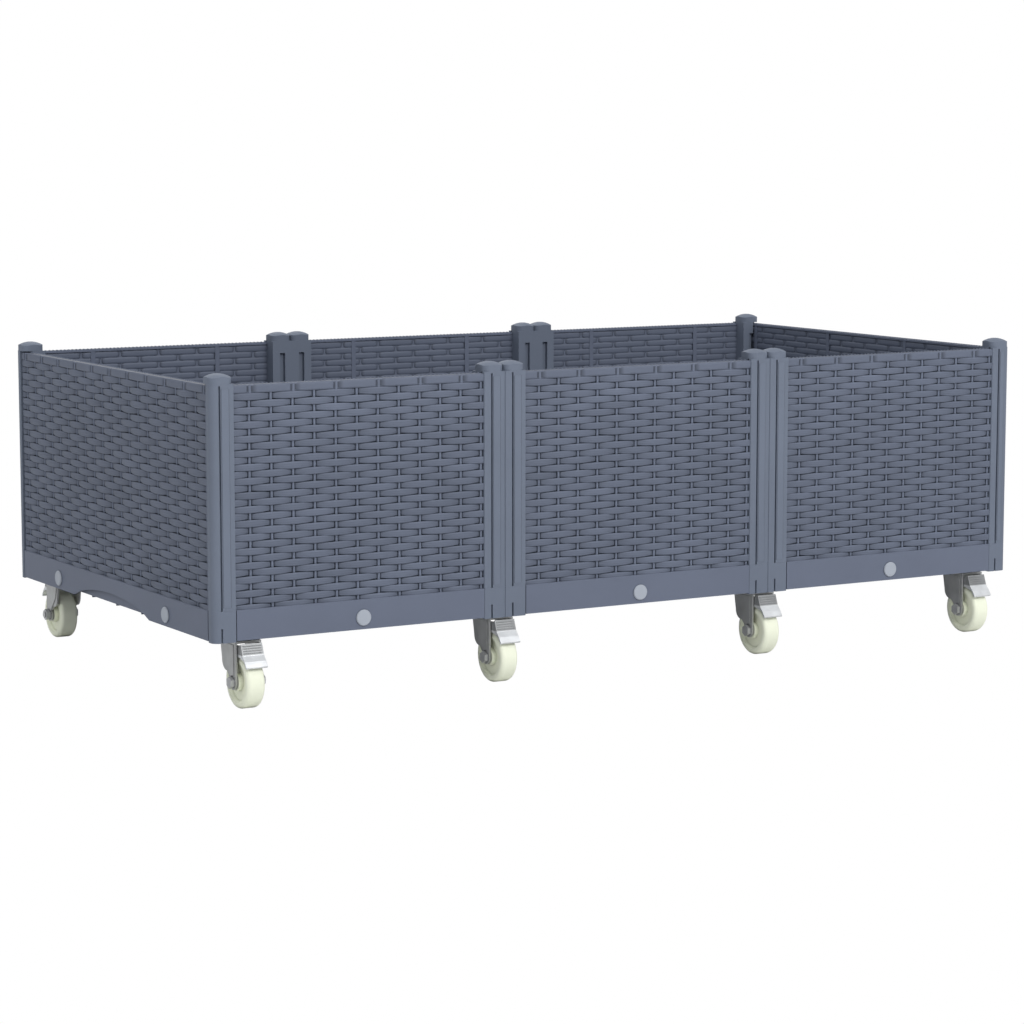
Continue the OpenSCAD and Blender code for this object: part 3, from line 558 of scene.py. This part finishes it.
def woven(w, first, seed):
    """All the forms of one field."""
    stake_lap, rail_in, inner_lap, beads_y = 0.001, 0.0003, 0.0060, 0.0102
    return joined([strands(w, first, ROWS, FIELD_Z, seed),
                   stakes(w, first, SKIRT_H, FIELD_Z + stake_lap),
                   rail(w, first, FIELD_Z + rail_in, RIM_Z - rail_in),
                   inner_strands(w, first, ROWS + 1, FIELD_Z + inner_lap),
                   beads(w, beads_y, RIM_Z)])


def to_side(i, rear):
    """Matrix from a long wall's field to the row frame."""
    m = Matrix.Translation((-LENGTH / 2 + i * MODULE + POST, -DEPTH / 2, BASE_Z))
    return HALF_TURN @ m if rear else m


def to_end(right):
    """Matrix from an end wall's field to the row frame."""
    m = (Matrix.Translation((-LENGTH / 2, 0, BASE_Z)) @ Matrix.Rotation(-math.pi / 2, 4, "Z")
         @ Matrix.Translation((-END_W / 2, 0, 0)))
    return HALF_TURN @ m if right else m


long_mesh = new_mesh("weave_front_left", woven(LONG_W, FIRST, LONG_SEED), weave_mat)
end_mesh = new_mesh("weave_end_left", woven(END_W, END_FIRST, END_SEED), weave_mat)
fields = [("weave_front_" + bay, long_mesh, to_side(i, False)) for i, bay in enumerate(BAYS)]
fields += [("weave_rear_" + bay, long_mesh, to_side(len(BAYS) - 1 - i, True))
           for i, bay in enumerate(BAYS)]
fields += [("weave_end_left", end_mesh, to_end(False)), ("weave_end_right", end_mesh, to_end(True))]
for name, mesh, matrix in fields:
    o = new_object(name, mesh)
    o.matrix_world = matrix
    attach(o, "planter")


def post_strips():
    """Low raised strips beside the grooves of the posts, front and rear, with painted shade on
    their sides and painted light on their faces.
    """
    start, start_side, end, corner_end, end_side = 0.0126, 0.0008, 0.0237, 0.0208, 0.0009
    sunk, raised, margin, side_shade, face_light = 0.0001, -0.0005, 0.004, 0.6, 1.04
    heights = (BASE_Z + SKIRT_H + margin, BASE_Z + RIM_Z - margin)
    out = []
    for turn in (Matrix.Identity(4), HALF_TURN):
        for i in range(len(BAYS)):
            for x in (-LENGTH / 2 + i * MODULE, -LENGTH / 2 + (i + 1) * MODULE - POST):
                to = corner_end if x > LENGTH / 2 - 2 * POST else end
                line = ((start, sunk), (start + start_side, raised),
                        (to - end_side, raised), (to, sunk))
                for k, tone_and_shade in enumerate((side_shade, face_light, side_shade)):
                    verts = [turn @ Vector((x + u, -DEPTH / 2 + d, z))
                             for u, d in line[k:k + 2] for z in heights]
                    out.append((verts, [(0, 2, 3, 1)], [tone_and_shade] * len(verts)))
    return joined(out)


strips = new_object("post_strips", new_mesh("post_strips", post_strips(), strip_mat, smooth=False))
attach(strips, "planter")


# ---------------------------------------------------------------- floor, light, camera

FLOOR_HALF = 14
FLOOR_GREY = (0.8, 0.8, 0.8, 1)
SKY_COLOR = (0.97, 0.985, 1.0, 1)
SKY_FROM, SKY_STRENGTH = (-0.1, 0.9), (0.38, 0.95)

floor_mat, t, surface = new_material("floor_white")
diffuse = t.nodes.new("ShaderNodeBsdfDiffuse")
diffuse.inputs["Color"].default_value = FLOOR_GREY
glow = t.nodes.new("ShaderNodeEmission")
glow.inputs["Color"].default_value = WHITE
glow.inputs["Strength"].default_value = 1
white_to_camera(t, diffuse.outputs["BSDF"], glow.outputs["Emission"], surface)

corners = [(x * FLOOR_HALF, y * FLOOR_HALF, 0) for x, y in ((-1, -1), (1, -1), (1, 1), (-1, 1))]
floor_mesh = new_mesh("floor", (corners, [(0, 1, 2, 3)], None), floor_mat, smooth=False)
floor = new_object("floor", floor_mesh)

# A sky that is brighter overhead, and plain white to the camera
world = bpy.data.worlds.new("world")
bpy.context.scene.world = world
world.use_nodes = True
t = world.node_tree
t.nodes.clear()
surface = t.nodes.new("ShaderNodeOutputWorld").inputs["Surface"]
sky = t.nodes.new("ShaderNodeBackground")
sky.inputs["Color"].default_value = SKY_COLOR
up = split(t, t.nodes.new("ShaderNodeTexCoord").outputs["Generated"])["Z"]
t.links.new(remap(t, up, SKY_FROM, SKY_STRENGTH), sky.inputs["Strength"])
white = t.nodes.new("ShaderNodeBackground")
white.inputs["Color"].default_value = WHITE
white.inputs["Strength"].default_value = 1
white_to_camera(t, sky.outputs["Background"], white.outputs["Background"], surface)


def look_along(o, direction):
    """Turns a light or camera to a direction."""
    o.rotation_mode = "QUATERNION"
    o.rotation_quaternion = direction.to_track_quat("-Z", "Y")


# Square lights that shine on the middle of the planter: place, size and watts
LIGHTS_AT = (0, 0, 0.25)
for name, loc, size, power in (("key", (0.3, -4.6, 3.3), 2.4, 130),
                               ("fill", (-4.0, -0.8, 2.0), 2.2, 5),
                               ("back", (1.2, 4.6, 3.3), 2.4, 40)):
    light = bpy.data.lights.new(name, "AREA")
    light.shape = "SQUARE"
    light.size = size
    light.energy = power
    o = new_object(name, light)
    o.location = loc
    look_along(o, Vector(LIGHTS_AT) - Vector(loc))

# The photo's camera: place, turn to the right and down in radians, and focal length in the
# photo's pixels
CAMERA_LOC = (-2.0919, -3.5844, 0.7047)
YAW, PITCH, FOCAL, PHOTO_PX = 0.5268, 0.1283, 3051.5, 1024
SENSOR_MM = 36
CLIP = (0.05, 100)

cam_data = bpy.data.cameras.new("camera")
cam_data.sensor_width = SENSOR_MM
cam_data.lens = FOCAL * SENSOR_MM / PHOTO_PX
cam_data.clip_start, cam_data.clip_end = CLIP
cam = new_object("camera", cam_data)
cam.location = CAMERA_LOC
look_along(cam, Vector((math.sin(YAW) * math.cos(PITCH), math.cos(YAW) * math.cos(PITCH),
                        -math.sin(PITCH))))
bpy.context.scene.camera = cam
bpy.context.scene.view_settings.view_transform = "Standard"
